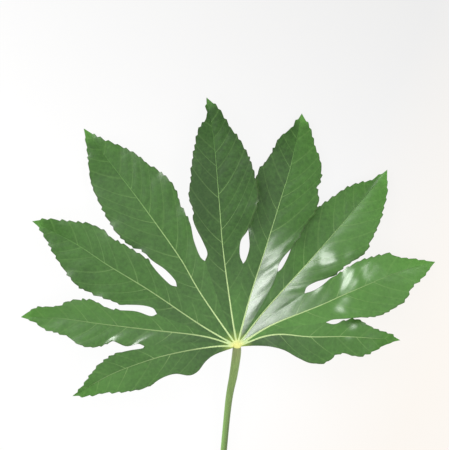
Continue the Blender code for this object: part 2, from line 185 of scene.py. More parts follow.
# Clockwise, from the lowest lobe on the left
LOBES = [
    Lobe(
        197.0, 124.0,
        rib=[(15, -4.5), (40, -8), (63, -9), (93, -7)],
        rib_green=(0.5, 0.6, 0.5),
        left=[
            (17, 1), (25, 4), (32, 9), (39, 10), (48, 6), (58, 6),
            (70, 9), (84, 8), (99, 4.5), (111, 3),
        ],
        right=[(66, -18.5), (76, -20), (86, -20), (95, -17.5), (103, -13.5), (109, -9), (117, -3)],
        tip=5, arch=4, left_lift=0.5, right_lift=3, left_tone_and_shade=(0.1, 0.65), right_tone_and_shade=(0.28, 0.48),
    ),
    Lobe(
        172.5, 157.5,
        rib=[(25, -4), (64, -3.5), (100, -3), (129, -3)],
        rib_green=(0.4, 0.4, 0.3),
        left=[
            (71, 7.5), (79, 10.5), (90, 8), (97, 12.5), (106, 14.5), (115, 13),
            (123, 8.5), (139, 6), (147, 2),
        ],
        right=[
            (64.5, -13.5), (76, -15.5), (94, -14.5), (106, -18.5), (116, -18), (125, -15.5), (131, -11.5),
            (146, -8.5), (153, -4),
        ],
        tip=-0.8, arch=4, left_lift=0, right_lift=3, left_tone_and_shade=(0.15, 0.62), right_tone_and_shade=(0.35, 0.68),
    ),
    Lobe(
        148.7, 173.0,
        rib=[(31, 0.5), (74, -1.5), (110, -1.5), (138, -2.5)],
        rib_green=(0.3, 0.3, 0.5),
        left=[
            (66, 8), (74, 10.5), (86, 17), (96, 19), (107, 21), (119, 22.5), (128, 20),
            (139, 15.5), (151, 9), (164, 2),
        ],
        right=[
            (64.5, -13), (77, -16), (87, -19.5), (99, -20), (117, -19.5), (126, -21), (135, -20),
            (149, -14), (165, -6),
        ],
        tip=3, arch=3, left_lift=1.5, right_lift=3, left_tone_and_shade=(0.2, 0.4), right_tone_and_shade=(0.45, 0.38),
        left_wax=(1.0, 0.5),
    ),
    Lobe(
        125.2, 192.0,
        rib=[(46, -0.5), (75, -3), (113, -3), (147, -2)],
        rib_green=(0.1, 0.0, 0.5),
        left=[
            (64.5, 9), (75, 10.5), (86, 14.5), (96, 16), (104, 21), (118, 23.5), (135, 22),
            (146, 20.5), (158, 17.5), (168, 12), (179, 6),
        ],
        right=[
            (68, -15.5), (80, -18.5), (92, -23.5), (104, -24.5), (118, -28.5), (130, -28), (142, -23.5),
            (154, -20), (166, -14), (178, -6),
        ],
        tip=-0.8, arch=3, left_lift=1, right_lift=2, left_tone_and_shade=(0.38, 0.32), right_tone_and_shade=(0.43, 0.35),
        right_wax=(1.0, 0.5),
    ),
    Lobe(
        97.0, 180.5,
        rib=[(25, 1), (70, 1.5), (106, 0), (149, -1.5)],
        rib_green=(0.0, 0.2, 0.7),
        left=[
            (69, 13), (77, 15), (92, 20), (100, 19), (111, 21), (123, 18), (134, 16),
            (147, 12), (158, 8), (166, 1.5), (175, 0.5),
        ],
        right=[
            (65, -10), (75, -12), (82, -18), (94, -24), (105, -28), (117, -27.5), (131, -25.5),
            (146, -20), (159, -13), (172, -7),
        ],
        tip=4, arch=3, left_lift=1.5, right_lift=1, left_tone_and_shade=(0.25, 0), right_tone_and_shade=(0.58, 0.03),
        right_wax=(1.0, 0.5),
    ),
    Lobe(
        74.4, 174.0,
        rib=[(36, 0.5), (74, -1), (110, -2), (136, -2.5)],
        rib_green=(0.0, 0.1, 0.5),
        left=[
            (62, 10.5), (71, 10.5), (80, 13.5), (94, 19), (106, 22), (116, 20), (127, 18),
            (141, 13), (153, 10.5), (162, 4),
        ],
        right=[
            (64, -13), (71, -15), (79, -19), (91, -22.5), (100, -25), (107, -27.5), (117, -28.5),
            (125, -24.5), (133, -25.5), (144, -22), (154, -15), (165, -8.5),
        ],
        tip=2.5, arch=-3, left_lift=-1.5, right_lift=2, left_tone_and_shade=(0.5, 0.14), right_tone_and_shade=(0.1, 0.4),
        right_crown=0.1, right_wax=(1.0, 0.3),
    ),
    Lobe(
        49.5, 167.0,
        rib=[(33, 1.5), (81, 0), (113, -0.5), (136, -0.5)],
        rib_green=(0.0, 0.2, 0.7),
        left=[
            (64, 12), (73, 14), (84, 18), (95, 22), (106, 22), (114, 20), (123, 17.5),
            (135, 14.5), (144, 10.5), (155, 3),
        ],
        right=[
            (65, -10.5), (72, -13), (79, -17.5), (86, -20), (95, -21.5), (109, -26), (119, -24),
            (133, -20.5), (143, -16), (153, -11), (162, -4),
        ],
        tip=3, arch=-1, left_lift=-3, right_lift=4, left_tone_and_shade=(0.4, 0.42), right_tone_and_shade=(0.1, 0.78),
        left_crown=0.8, right_crown=0.1, left_wax=(1.0, 0.45), right_wax=(0.65, 0.65),
    ),
    Lobe(
        22.9, 155.5,
        rib=[(28, 4.5), (66, 4), (91, 4.5), (125, 4)],
        rib_green=(0.0, 0.2, 0.7),
        left=[
            (66, 15.5), (73, 16.5), (81, 19), (89, 19.5), (102, 22), (113, 21), (126, 18.5),
            (132, 13.5), (143, 7),
        ],
        right=[
            (71, -9), (80, -12), (91, -15.5), (102, -19), (117, -18), (126, -15),
            (132, -9.5), (142, -6.5),
        ],
        tip=-0.8, arch=11.5, left_lift=-2.5, right_lift=1, left_tone_and_shade=(0.2, 0.95), right_tone_and_shade=(0.85, 0.8), left_crown=0.1,
    ),
    Lobe(
        2.1, 117.5,
        rib=[(9, 3), (20, 6.5), (33, 7.5), (53, 5), (82, 4)],
        rib_green=(0.0, 0.1, 0.5),
        left=[(70, 13.5), (78, 15.5), (87, 16), (93, 12.5), (100, 8.5), (109, 5)],
        right=[
            (13, 0), (24, -1), (34, -4), (43, -9.5), (53, -14), (64, -13),
            (70, -8.5), (77, -7.5), (86, -10), (96, -7.5), (108, -2),
        ],
        tip=11, arch=4.5, left_lift=0.5, right_lift=2.5, left_tone_and_shade=(0.7, 0.6), right_tone_and_shade=(0.1, 0.6),
    ),
]

# The bottom of the notch after each lobe but the last: bearing, radius in millimetres, how many
# millimetres the fold stands there over the ribs beside it, and how far over from the first of
# these ribs to the second the fold starts
NOTCHES = [
    (180.0, 66.5, 0.4, 0.5),
    (158.0, 62.0, 1.6, 0.5),
    (135.2, 61.0, 1.4, 0.5),
    (110.6, 65.5, 1.4, 0.5),
    (85.8, 59.5, 1.4, 0.5),
    (61.3, 61.0, 4.5, 0.75),
    (38.1, 61.5, -0.4, 0.5),
    (15.2, 66.0, -0.1, 0.5),
]

# Low swellings of the blade past the notches: which lobe, then x, y, height and radius in millimetres
SWELLS = [
    (6, 75.5, 60.0, 2.8, 17.0),
    (7, 91.0, 44.0, 4.8, 20.0),
    (7, 81.0, 21.5, 3.6, 16.0),
    (8, 90.0, 9.0, 4.0, 15.0),
]


def polar(bearing, radius):
    return np.array([math.cos(math.radians(bearing)), math.sin(math.radians(bearing))]) * radius


def in_plan(lobe, points):
    """A lobe's own points, in millimetres, as points of the leaf seen from above, in metres."""
    ahead = polar(lobe.bearing, 1.0)
    left = np.array([-ahead[1], ahead[0]])
    return [(along * ahead + across * left) * MM for along, across in points]


def smooth_line(points):
    """A Catmull-Rom curve through points, as many short steps."""
    points = np.array(points, float)
    first = 2 * points[0] - points[1]
    last = 2 * points[-1] - points[-2]
    points = np.vstack([first, points, last])
    steps = []
    for a, b, c, d in zip(points, points[1:], points[2:], points[3:]):
        for t in np.arange(LINE_STEPS) / LINE_STEPS:
            bend = 2 * a - 5 * b + 4 * c - d
            twist = 3 * b - a - 3 * c + d
            steps.append(0.5 * (2 * b + (c - a) * t + bend * t**2 + twist * t**3))
    steps.append(points[-2])
    return np.array(steps)


class Line:
    """A smooth line that is read by the distance along it."""

    def __init__(self, points):
        self.steps = smooth_line(points)
        gaps = np.linalg.norm(np.diff(self.steps, axis=0), axis=1)
        self.marks = np.concatenate([[0.0], np.cumsum(gaps)])
        self.length = self.marks[-1]

    def at(self, distance):
        return np.array([np.interp(distance, self.marks, column) for column in self.steps.T])

    def ahead(self, distance):
        """Which way the line runs there, as a unit vector."""
        step = self.at(distance + MM) - self.at(distance - MM)
        return step / np.linalg.norm(step)


def smooth_step(x):
    x = np.clip(x, 0.0, 1.0)
    return x * x * (3 - 2 * x)


def blend(start, end, share):
    return start + (end - start) * share


def rib_line(number):
    lobe = LOBES[number]
    return Line([np.zeros(2)] + in_plan(lobe, lobe.rib + [(lobe.length, 0)]))


RIBS = [rib_line(number) for number in range(len(LOBES))]


def notch_distance(number):
    """How far out on a lobe's rib the row of its notches starts."""
    beside = [NOTCHES[n][1] for n in (number - 1, number) if 0 <= n < len(NOTCHES)]
    return NOTCH_ON_RIB * sum(beside) / len(beside) * MM


def rib_distance(number, row):
    """Rows run from 0 at the middle through 1 at the notches to 2 at the tip."""
    if row <= 1:
        return blend(RING_RADIUS, notch_distance(number), row)
    return blend(notch_distance(number), RIBS[number].length, row - 1)


def rib_height(number, distance):
    lobe = LOBES[number]
    share = distance / RIBS[number].length
    straight = blend(MIDDLE_HEIGHT, lobe.tip * MM, share)
    return straight + ARCH_SCALE * share * (1 - share**2) * lobe.arch * MM


def swelling(number, x, y):
    """How far the low swellings lift a lobe there."""
    lift = 0.0
    for centre_x, centre_y, height, radius in (swell[1:] for swell in SWELLS if swell[0] == number):
        share = ((x / MM - centre_x) ** 2 + (y / MM - centre_y) ** 2) / radius**2
        lift += height * MM * np.maximum(1 - share, 0.0) ** 2
    return lift


def row_height(number, row):
    return rib_height(number, rib_distance(number, row))


class Half:
    """Half of a lobe, from its rib to one margin. sign is 1 on the left and -1 on the right."""

    def __init__(self, number, sign):
        lobe = LOBES[number]
        self.number = number
        self.sign = sign
        self.lift = (lobe.left_lift if sign > 0 else lobe.right_lift) * MM
        self.pale = lobe.left_tone_and_shade if sign > 0 else lobe.right_tone_and_shade
        self.wax = lobe.left_wax if sign > 0 else lobe.right_wax
        self.crown = lobe.left_crown if sign > 0 else lobe.right_crown
        self.neighbour = number - sign
        self.by_stalk = not 0 <= self.neighbour < len(LOBES)
        if self.by_stalk:
            start = polar(lobe.bearing + sign * BASE_TURN, RING_RADIUS)
        else:
            self.notch = NOTCHES[min(number, self.neighbour)]
            start = self.fold(1.0)
        own = (lobe.left if sign > 0 else lobe.right) + [(lobe.length, 0)]
        self.margin = Line([start] + in_plan(lobe, own))
        self.phase = random.Random(f"{SEED} {number} {sign}").uniform(0, math.tau)

    def set_teeth(self, teeth):
        """Draws the teeth past the notch: how many, their sizes and how unevenly they stand."""
        chance = random.Random(f"teeth {SEED} {self.number} {self.sign}")
        self.teeth = teeth
        self.sizes = [chance.uniform(*TOOTH_SIZES) for _ in range(teeth)]
        slips = [chance.uniform(-TOOTH_SLIP, TOOTH_SLIP) for _ in range(teeth - 1)]
        self.slips = [0.0] + slips + [0.0]

    def slip(self, row):
        """How far uneven teeth shift a row's end, in rows."""
        return np.interp((row - 1) * self.teeth, range(self.teeth + 1), self.slips) / self.teeth

    def share(self, row):
        """How far along its margin a row ends."""
        if not self.by_stalk:
            return max(row - 1, 0.0)
        return BASE_SHARE * row if row <= 1 else blend(BASE_SHARE, 1.0, row - 1)

    def fold(self, row):
        """A point of the fold between two lobes. It runs between their ribs to the notch."""
        first = min(self.number, self.neighbour)
        ribs = [RIBS[n].at(rib_distance(n, row)) for n in (first, first + 1)]
        bearings = [math.degrees(math.atan2(y, x)) % 360 for x, y in ribs]
        bearing, radius, _, place = self.notch
        inside = blend(*bearings, place)
        return polar(blend(inside, bearing, row**2), blend(RING_RADIUS, radius * MM, row))

    def edge(self, row):
        """Where a row ends: on the fold between two lobes, and past the notch on the margin."""
        if row < 1 and not self.by_stalk:
            return self.fold(row)
        return self.margin.at(self.share(row) * self.margin.length)

    def fold_rise(self, row):
        """Height of the fold between two lobes, over this lobe's rib."""
        level = (row_height(self.number, row) + row_height(self.neighbour, row)) / 2
        return level + self.notch[2] * MM * row - row_height(self.number, row)

    def rise(self, row):
        """Height of the row's end over the rib."""
        if row <= 1 and not self.by_stalk:
            return self.fold_rise(row)
        start = 0.0 if self.by_stalk else self.fold_rise(1.0)
        share = self.share(row)
        own = self.lift * (1 - share**3)
        return blend(start, own, smooth_step(share / LIFT_REACHED))

    def curl(self, row, column):
        """Height over the rib in a row, without the ruffle. Past the notch the crown fades to 1."""
        crown = blend(self.crown, 1.0, smooth_step((row - 1) / CROWN_FADED))
        return self.rise(row) * column * (1 + crown * (1 - column))

    def ruffle(self, row):
        share = self.share(row)
        turns = share * self.margin.length / RUFFLE_LENGTH
        fade = smooth_step(share / LIFT_REACHED) * (1 - share)
        return RUFFLE * fade * math.sin(math.tau * turns + self.phase)


def lobe_halves(number):
    """Both halves of a lobe, which share their rows."""
    halves = [Half(number, sign) for sign in (1, -1)]
    free = [(1 - half.share(1.0)) * half.margin.length for half in halves]
    teeth = round(sum(free) / len(free) / TOOTH_PITCH)
    for half in halves:
        half.set_teeth(teeth)
    return halves


class Sheet:
    """The fine grid of points of half a lobe. Rows run out along the lobe, columns from the rib to
    the margin. vein counts the side veins from the middle of the leaf, and across is the distance
    from the rib."""

    def __init__(self, half):
        self.half = half
        steps = [step / INNER_ROWS for step in range(INNER_ROWS)]
        parts = [TOOTH_LEAN * part / (ROWS_A_TOOTH - 1) for part in range(ROWS_A_TOOTH)]
        steps += [1 + (tooth + part) / half.teeth for tooth in range(half.teeth) for part in parts]
        self.rows = np.array(steps + [2.0])
        even = np.linspace(0, 1, COLUMNS)
        self.columns = (even + smooth_step(even)) / 2
        tip = smooth_step((self.rows - 1.9) / 0.08)
        # Each half's green, partly its own tone and partly painted light and shade, plus the paler curled tips
        self.pale = blend(*half.pale, smooth_step(self.rows / 2)) + TIP_PALE * tip
        self.wax = blend(*half.wax, smooth_step((self.rows - WAX_THINS[0]) / WAX_THINS[1]))
        self.wax = self.wax * (1 - smooth_step((self.rows - WAX_ENDS[0]) / WAX_ENDS[1]))
        made = [self.row_points(row) for row in self.rows]
        self.points, self.vein, self.across = (np.array(part) for part in zip(*made))

    def row_points(self, row):
        half = self.half
        rib = RIBS[half.number]
        distance = rib_distance(half.number, row)
        start = rib.at(distance)
        ahead = rib.ahead(distance)
        side = np.array([-ahead[1], ahead[0]]) * half.sign
        column = self.columns
        end = row + half.slip(row)
        plan = start + np.outer(column, half.edge(end) - start)
        push = smooth_step((column - TOOTH_DEEP) / (1 - TOOTH_DEEP))
        plan += np.outer(push, self.tooth(row))
        across = np.abs((plan - start) @ side)
        along = distance + (plan - start) @ ahead
        line = along - VEIN_LEAN * across - VEIN_CURVE * across**2
        line += VEIN_WANDER * np.sin(math.tau * line / VEIN_WANDER_LENGTH + half.phase)
        vein = line / VEIN_PITCH + 0.25 * half.sign
        curl = half.curl(end, column) + half.ruffle(end) * column**4
        wide = smooth_step(across[-1] / (12 * MM))
        fade = smooth_step(across / (5 * MM)) * smooth_step((1 - column) / 0.3) * wide
        bulge = QUILT * fade * np.sin(math.pi * vein) ** 2
        height = rib_height(half.number, distance) + curl + bulge + swelling(half.number, *plan.T)
        points = np.column_stack([plan, np.maximum(height, THICKNESS / 2)])
        return points, vein, across

    def tooth(self, row):
        """How far a tooth pushes the margin outwards in a row, as a vector seen from above."""
        half = self.half
        place = (row - 1) * half.teeth + 1e-9
        number = math.floor(place)
        if not round(TEETH_FROM * half.teeth) <= number < half.teeth - 1:
            return np.zeros(2)
        part = place - number
        if part <= TOOTH_LEAN + 1e-6:
            reach = (part / TOOTH_LEAN) ** TOOTH_BELLY
        else:
            reach = (1 - part) / (1 - TOOTH_LEAN)
        run = half.margin.ahead(half.share(row + half.slip(row)) * half.margin.length)
        outward = np.array([-run[1], run[0]]) * half.sign
        return outward * TOOTH_DEPTH * half.sizes[number] * reach

    def at(self, vein, column):
        """The point of a side vein in a column, by its number."""
        row = np.interp(vein, self.vein[:, column], self.rows)
        return np.array([np.interp(row, self.rows, part) for part in self.points[:, column].T])


def make_sheets():
    return [[Sheet(half) for half in lobe_halves(number)] for number in range(len(LOBES))]


def solid_box(node):
    """A node's box, as arrays."""
    low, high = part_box(node)
    return np.array(low), np.array(high)


def middle_in_frame():
    """Where the leaf's middle lies in the frame: the tips of the second and the fifth lobe are the
    blade's left and far ends there and here."""
    low, high = solid_box("blade")
    left_tip = RIBS[1].at(RIBS[1].length)
    far_tip = RIBS[4].at(RIBS[4].length)
    return Vector((low[0] - left_tip[0], high[1] - far_tip[1] - TIP_SPREAD, 0.0))


MIDDLE = middle_in_frame()


def linear(colour):
    """An sRGB hex colour as a linear one."""
    parts = [int(colour[at : at + 2], 16) / 255 for at in (1, 3, 5)]
    return tuple(c / 12.92 if c <= 0.04045 else ((c + 0.055) / 1.055) ** 2.4 for c in parts) + (1.0,)


def add(tree, kind, links=None, **settings):
    """Adds a node with its settings. links gives each input a value or another node's output."""
    node = tree.nodes.new(kind)
    for name, value in settings.items():
        setattr(node, name, value)
    for socket, value in (links or {}).items():
        if isinstance(value, bpy.types.NodeSocket):
            tree.links.new(value, node.inputs[socket])
        else:
            node.inputs[socket].default_value = value
    return node


def new_material(name, roughness, ior=1.45):
    made = bpy.data.materials.new(name)
    made.use_nodes = True
    shader = made.node_tree.nodes["Principled BSDF"]
    shader.inputs["Roughness"].default_value = roughness
    shader.inputs["IOR"].default_value = ior
    shader.inputs["Metallic"].default_value = 0.0
    return made, made.node_tree, shader


def from_middle(tree):
    """Object coordinates, counted from the leaf's middle."""
    place = add(tree, "ShaderNodeTexCoord").outputs["Object"]
    return add(tree, "ShaderNodeVectorMath", {0: place, 1: MIDDLE}, operation="SUBTRACT").outputs[0]


def spread(tree, place):
    """How far a place lies from the leaf's middle, seen from above."""
    flat = add(tree, "ShaderNodeVectorMath", {0: place, 1: (1, 1, 0)}, operation="MULTIPLY").outputs[0]
    return add(tree, "ShaderNodeVectorMath", {0: flat}, operation="LENGTH").outputs["Value"]


# Sockets of a Mix node set to colours, which share their names with those for numbers
MIX_A = 6
MIX_B = 7
MIX_RESULT = 2


def mixed(tree, share, first, second):
    """A colour between two."""
    links = {0: share, MIX_A: first, MIX_B: second}
    return add(tree, "ShaderNodeMix", links, data_type="RGBA").outputs[MIX_RESULT]


def ramp(tree, value, low, high, start, end):
    """Start where the value is low or less, end where it is high or more."""
    links = {"Value": value, 1: low, 2: high, 3: start, 4: end}
    return add(tree, "ShaderNodeMapRange", links).outputs[0]


def sum_of(tree, value, factor, more):
    return add(tree, "ShaderNodeMath", {0: value, 1: factor, 2: more}, operation="MULTIPLY_ADD").outputs[0]


def product(tree, first, second):
    return add(tree, "ShaderNodeMath", {0: first, 1: second}, operation="MULTIPLY").outputs[0]


def noise(tree, place, scale, detail=2.0):
    return add(tree, "ShaderNodeTexNoise", {"Vector": place, "Scale": scale, "Detail": detail}).outputs["Fac"]


def leaf_net(tree, place):
    """The net of the smallest veins, in cells of about 4.5 mm: 1 on a vein and 0 beside it."""
    links = {"Vector": place, "Scale": 1 / (4.5 * MM)}
    cells = add(tree, "ShaderNodeTexVoronoi", links, feature="DISTANCE_TO_EDGE")
    return ramp(tree, cells.outputs["Distance"], 0.0, 0.09, 1.0, 0.0)


def add_bump(tree, shader, height):
    bump = add(tree, "ShaderNodeBump", {"Height": height, "Distance": 1.0})
    tree.links.new(bump.outputs[0], shader.inputs["Normal"])


def leaf_skin():
    """The upper face of a grown leaf: thick and leathery under a clear coat of wax. The eye gets a
    deep green with a soft whitish shine, which breaks up along the side veins."""
    made, tree, shader = new_material("Waxed leaf skin", roughness=0.31)
    wax = add(tree, "ShaderNodeAttribute", attribute_name="wax").outputs["Fac"]
    tree.links.new(wax, shader.inputs["Coat Weight"])
    shader.inputs["Coat Roughness"].default_value = 0.27
    shader.inputs["Specular IOR Level"].default_value = 0.3
    shader.inputs["Coat IOR"].default_value = 1.7
    place = from_middle(tree)
    out = spread(tree, place)
    counted = add(tree, "ShaderNodeUVMap", uv_map="veins").outputs["UV"]
    parts = add(tree, "ShaderNodeSeparateXYZ", {0: counted})
    # The pale share is partly each half's own tone and partly painted light and shade for how the half faces
    # the light
    pale = add(tree, "ShaderNodeAttribute", attribute_name="pale").outputs["Fac"]
    cloud = noise(tree, place, 45.0, 3.0)
    fleck = noise(tree, place, 400.0, 2.0)
    share = sum_of(tree, cloud, 0.5, sum_of(tree, fleck, 0.6, pale))
    share = add(tree, "ShaderNodeMath", {0: share, 1: 0.55}, operation="SUBTRACT", use_clamp=True).outputs[0]
    green = mixed(tree, share, linear(DARK_GREEN), linear(LIGHT_GREEN))
    thread = leaf_net(tree, place)
    # A side vein's pale seam, 1.2 mm to either side
    near = add(tree, "ShaderNodeMath", {0: parts.outputs["X"], 1: 0.5}, operation="PINGPONG").outputs[0]
    seam = ramp(tree, near, 0.0, 0.08, 1.0, 0.0)
    lines = sum_of(tree, seam, 0.09, sum_of(tree, thread, 0.025, 0.0))
    veined = mixed(tree, lines, green, linear("#9cc274"))
    # Yellow round the joint
    young = add(tree, "ShaderNodeMapRange", {"Value": out, 1: 3 * MM, 2: 13 * MM, 3: 0.9, 4: 0.0})
    young.interpolation_type = "SMOOTHSTEP"
    skin = mixed(tree, young.outputs[0], veined, linear("#8fa548"))
    # Painted shade: the blade darkens in its last columns at the margin, where it rolls under
    painted_rim_shade = sum_of(tree, add(tree, "ShaderNodeAttribute", attribute_name="painted_rim_shade").outputs["Fac"], 0.5, 0.0)
    tree.links.new(mixed(tree, painted_rim_shade, skin, linear(RIM_PAINTED_SHADE)), shader.inputs["Base Color"])
    # Fine furrows run with the side veins, about 2.2 mm apart
    drawn = add(tree, "ShaderNodeMapping", {0: counted, "Scale": (VEIN_PITCH / (2.2 * MM), 60.0, 1.0)})
    furrow = noise(tree, drawn.outputs[0], 1.0)
    grain = noise(tree, place, 1 / (1.3 * MM))
    high = sum_of(tree, furrow, 0.08 * MM, sum_of(tree, grain, 0.035 * MM, 0.0))
    add_bump(tree, shader, sum_of(tree, thread, -0.02 * MM, high))
    return made


def leaf_underside():
    """The lower face of the leaf: the same flesh with little wax, so it is paler, greyer and matt."""
    made, tree, shader = new_material("Matt leaf underside", roughness=0.6)
    place = from_middle(tree)
    green = mixed(tree, noise(tree, place, 60.0, 3.0), linear("#6f9457"), linear("#8aab6d"))
    thread = leaf_net(tree, place)
    share = sum_of(tree, thread, 0.35, 0.0)
    tree.links.new(mixed(tree, share, green, linear("#b4cb93")), shader.inputs["Base Color"])
    add_bump(tree, shader, sum_of(tree, thread, 0.1 * MM, 0.0))
    return made


def rib_skin():
    """The ribs, side veins and joint: firm, juicy tissue with a thin skin. It is yellow where the
    ribs meet and turns a pale, then a deeper green on the way out."""
    made, tree, shader = new_material("Pale rib skin", roughness=0.5)
    place = from_middle(tree)
    out = spread(tree, place)
    first = mixed(tree, ramp(tree, out, 2 * MM, 6.5 * MM, 0.0, 1.0), linear(RIB_YELLOW), linear(RIB_PALE))
    colour = mixed(tree, ramp(tree, out, 25 * MM, 150 * MM, 0.0, 1.0), first, linear(RIB_FAR))
    green = add(tree, "ShaderNodeAttribute", attribute_name="green").outputs["Fac"]
    tree.links.new(mixed(tree, green, colour, linear(VEIN_GREEN)), shader.inputs["Base Color"])
    add_bump(tree, shader, sum_of(tree, noise(tree, place, 1 / (1.0 * MM)), 0.04 * MM, 0.0))
    return made


def stalk_skin():
    """The leafstalk: smooth, firm green skin over fibres that run its length, so it has fine
    lengthwise lines and a soft shine. Lower down, light on its left side and shade on its right are painted
    into its colour."""
    made, tree, shader = new_material("Smooth stalk skin", roughness=0.42)
    place = from_middle(tree)
    scale = (1 / (0.9 * MM), 1 / (22 * MM), 1 / (0.9 * MM))
    drawn = add(tree, "ShaderNodeMapping", {0: place, "Scale": scale})
    fibre = noise(tree, drawn.outputs[0], 1.0)
    green = mixed(tree, fibre, linear(STALK_DARK), linear(STALK_LIGHT))
    out = spread(tree, place)
    # Painted light and shade: further down, the side facing left is painted lighter and the side facing right
    # darker
    painted_light_side = add(tree, "ShaderNodeAttribute", attribute_name="painted_light_side").outputs["Fac"]
    painted_flank_shading = mixed(tree, painted_light_side, linear(STALK_PAINTED_SHADED), linear(STALK_PAINTED_LIT))
    green = mixed(tree, ramp(tree, out, 20 * MM, 60 * MM, 0.0, 0.9), green, painted_flank_shading)
    near_joint = ramp(tree, out, 4 * MM, 14 * MM, 0.4, 0.0)
    tree.links.new(mixed(tree, near_joint, green, linear(STALK_TOP)), shader.inputs["Base Color"])
    add_bump(tree, shader, sum_of(tree, fibre, 0.1 * MM, 0.0))
    return made


def stalk_cut():
    """The cut end of the stalk: moist, pale flesh with the ends of its fibres as small dots."""
    made, tree, shader = new_material("Cut stalk flesh", roughness=0.5)
    place = from_middle(tree)
    dots = add(tree, "ShaderNodeTexVoronoi", {"Vector": place, "Scale": 1 / (0.7 * MM)})
    spot = ramp(tree, dots.outputs["Distance"], 0.2, 0.35, 1.0, 0.0)
    tree.links.new(mixed(tree, spot, linear("#c9d6a4"), linear("#8fa765")), shader.inputs["Base Color"])
    return made


def new_object(name, bm, looks):
    """Makes an object of a bmesh that is drawn round the leaf's middle."""
    mesh = bpy.data.meshes.new(name)
    bm.to_mesh(mesh)
    bm.free()
    made = bpy.data.objects.new(name, mesh)
    bpy.context.scene.collection.objects.link(made)
    for look in looks:
        mesh.materials.append(look)
    return made


def applied(made):
    """Makes an object's modifiers part of its mesh."""
    bpy.context.view_layer.update()
    graph = bpy.context.evaluated_depsgraph_get()
    made.data = bpy.data.meshes.new_from_object(made.evaluated_get(graph))
    made.modifiers.clear()


def into_place(made, sharp_angle=50.0):
    made.data.transform(Matrix.Translation(MIDDLE))
    made.data.shade_smooth()
    made.data.set_sharp_from_angle(angle=math.radians(sharp_angle))


def add_sheet(bm, sheet):
    rows, columns = sheet.vein.shape
    grid = bmesh.ops.create_grid(bm, x_segments=columns - 1, y_segments=rows - 1, size=0.5)
    pale = bm.verts.layers.float["pale"]
    wax = bm.verts.layers.float["wax"]
    painted_rim_shade = bm.verts.layers.float["painted_rim_shade"]
    veins = bm.loops.layers.uv["veins"]
    for step, vertex in enumerate(grid["verts"]):
        row, column = divmod(step, columns)
        vertex.co = sheet.points[row, column]
        vertex[pale] = sheet.pale[row]
        vertex[wax] = sheet.wax[row]
        # Painted shade along the margin past the notches
        if sheet.rows[row] > 1 or sheet.half.by_stalk:
            vertex[painted_rim_shade] = max(column - columns + RIM_COLUMNS + 1, 0) / RIM_COLUMNS
        for loop in vertex.link_loops:
            loop[veins].uv = (sheet.vein[row, column], sheet.across[row, column])


def make_blade(sheets):
    bm = bmesh.new()
    bm.verts.layers.float.new("pale")
    bm.verts.layers.float.new("wax")
    bm.verts.layers.float.new("painted_rim_shade")
    bm.loops.layers.uv.new("veins")
    for pair in sheets:
        for sheet in pair:
            add_sheet(bm, sheet)
    bmesh.ops.remove_doubles(bm, verts=bm.verts, dist=MERGE)
    bmesh.ops.recalc_face_normals(bm, faces=bm.faces)
    if sum(face.normal.z for face in bm.faces) < 0:
        bmesh.ops.reverse_faces(bm, faces=bm.faces)
    blade = new_object("leaf_blade", bm, [leaf_skin(), leaf_underside()])
    wall = blade.modifiers.new("Thickness", "SOLIDIFY")
    wall.thickness = THICKNESS
    wall.offset = 0.0
    wall.material_offset = 1
    applied(blade)
    into_place(blade)
    return blade


def rolled(bm, rings, greens=(0.0,)):
    """A closed strand through rings of equally many points: a grid, rolled up. Each end is drawn
    in to a point. greens says how much of the blade's green each ring has."""
    rings = np.array(rings)
    ends = [np.broadcast_to(ring.mean(axis=0), ring.shape) for ring in (rings[0], rings[-1])]
    rings = np.concatenate([ends[:1], rings, ends[1:]])
    rings = np.concatenate([rings, rings[:, :1]], axis=1)
    steps, sides = rings.shape[:2]
    grid = bmesh.ops.create_grid(bm, x_segments=sides - 1, y_segments=steps - 1, size=0.5)
    green = bm.verts.layers.float.get("green")
    for step, (vertex, point) in enumerate(zip(grid["verts"], rings.reshape(-1, 3))):
        vertex.co = point
        if green:
            ring = step // sides - 1
            vertex[green] = greens[min(max(ring, 0), len(greens) - 1)]


def ring_round(centre, ahead, section):
    """A section's corners, (across, up), set square to the way ahead."""
    ahead = Vector(ahead).normalized()
    across = ahead.cross(Vector((0, 0, 1))).normalized()
    up = across.cross(ahead)
    return [Vector(centre) + across * x + up * y for x, y in section]


def rib_width(distance, share):
    """Of the part that shows on top. It narrows fast near the joint and slowly further out."""
    return (0.3 + 0.8 * (1 - share) + 0.75 * math.exp(-distance / (12 * MM))) * MM


def rib_section(width, depth, slopes):
    """A low ridge on top, as wide as width, and a deep keel below. slopes are how steeply the blade
    rises on the right and on the left."""
    half = width / 2
    face = THICKNESS / 2
    sides = [face + slope * half for slope in slopes]
    top = max(sides) + 0.3 * half + 0.08 * MM
    shoulder = [blend(side, top, 0.75) for side in sides]
    keel = half * 1.5
    under = -face - depth
    return [
        (half, sides[0] - 0.05 * MM), (0.6 * half, shoulder[0]), (0, top),
        (-0.6 * half, shoulder[1]), (-half, sides[1] - 0.05 * MM), (-keel, -face),
        (-0.9 * keel, under * 0.55), (-0.5 * keel, under * 0.9), (0, under),
        (0.5 * keel, under * 0.9), (0.9 * keel, under * 0.55), (keel, -face),
    ]


def rib_rings(pair, start, end):
    """Rings round a rib, from one distance from the middle to another."""
    number = pair[0].half.number
    rib = RIBS[number]
    rings = []
    for step, row in enumerate(pair[0].rows):
        distance = rib_distance(number, row)
        if not start <= distance <= end:
            continue
        slopes = []
        for sheet in reversed(pair):
            near = sheet.points[step, 0]
            far = sheet.points[step, 3]
            slopes.append((far[2] - near[2]) / max(sheet.across[step, 3], 0.2 * MM))
        share = distance / rib.length
        depth = blend(*RIB_DEPTH, share**0.7)
        section = rib_section(rib_width(distance, share), depth, slopes)
        fade = 1 - smooth_step((share - 0.8) / (RIB_END - 0.8))
        section = [(x * (0.3 + 0.7 * fade), y) for x, y in section]
        x, y = rib.ahead(distance)
        rings.append(ring_round(pair[0].points[step, 0], (x, y, 0), section))
    return rings


